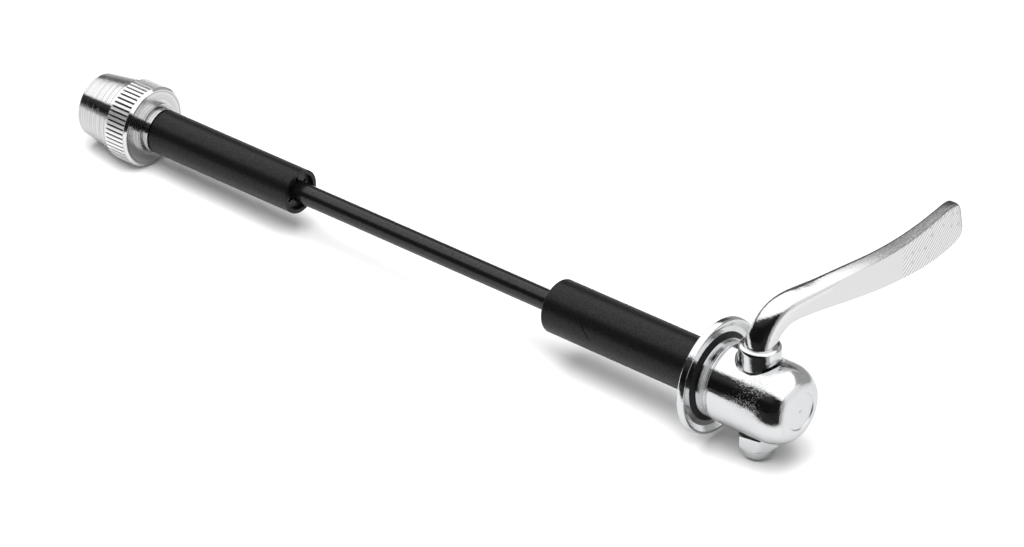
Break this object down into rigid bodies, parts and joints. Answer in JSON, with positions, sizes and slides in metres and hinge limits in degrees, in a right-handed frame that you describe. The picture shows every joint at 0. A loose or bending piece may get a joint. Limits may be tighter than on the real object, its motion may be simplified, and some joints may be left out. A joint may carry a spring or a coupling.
{
  "type": "thru axle adapter",
  "caption": "Quick-release thru axle adapter: two black sleeves on a rod, a knurled cone nut and a cam head with a swinging lever that clamps against a dished flange.",
  "frame": {"origin": "on the axle's axis, at the flange's inboard clamping face, where the lever side sleeve begins", "axes": "+X along the axle towards the cam head, +Z along the cam shaft towards the lever, +Y completes the frame; the lever points roughly along +Y"},
  "size_m": [0.2012, 0.0636, 0.0435],
  "materials": {
    "chromed_steel": "polished",
    "turned_nut": "turned and plated",
    "black_sleeve": "matte black",
    "black_rod": "satin black",
    "spring_steel": "bright",
    "black_plastic": "matte black"
  },
  "bodies": {
    "sleeve_end": {"lever_side_sleeve": "black_sleeve", "flange_washer": "chromed_steel"},
    "head": {"cam_housing": "chromed_steel", "glide_washer": "black_plastic"},
    "lever": {"cam_lever": "chromed_steel", "lock_washer": "spring_steel", "acorn_nut": "chromed_steel"},
    "rod": {"skewer_rod": "black_rod"},
    "nut_sleeve": {"nut_side_sleeve": "black_sleeve", "retaining_washer": "spring_steel"},
    "nut": {"cone_nut": "turned_nut"}
  },
  "joints": [
    {"name": "head_turn", "type": "hinge", "parent": "sleeve_end", "child": "head", "pos_m": [0, 0, 0], "axis": [1, 0, 0], "continuous": true},
    {"name": "lever_swing", "type": "hinge", "parent": "head", "child": "lever", "pos_m": [0.0115, 0, 0], "axis": [0, 0, 1], "range_deg": [-158, 22]},
    {"name": "rod_pull", "type": "slide", "parent": "head", "child": "rod", "axis": [1, 0, 0], "range_m": [-0.00195, 0.0003]},
    {"name": "nut_sleeve_turn", "type": "hinge", "parent": "rod", "child": "nut_sleeve", "pos_m": [-0.136, 0, 0], "axis": [1, 0, 0], "continuous": true},
    {"name": "nut_turn", "type": "hinge", "parent": "rod", "child": "nut", "pos_m": [-0.165, 0, 0], "axis": [1, 0, 0], "continuous": true}
  ],
  "couplings": [
    {"joint": "rod_pull", "follows": "lever_swing", "m_per_rad": 0.0006988}
  ]
}
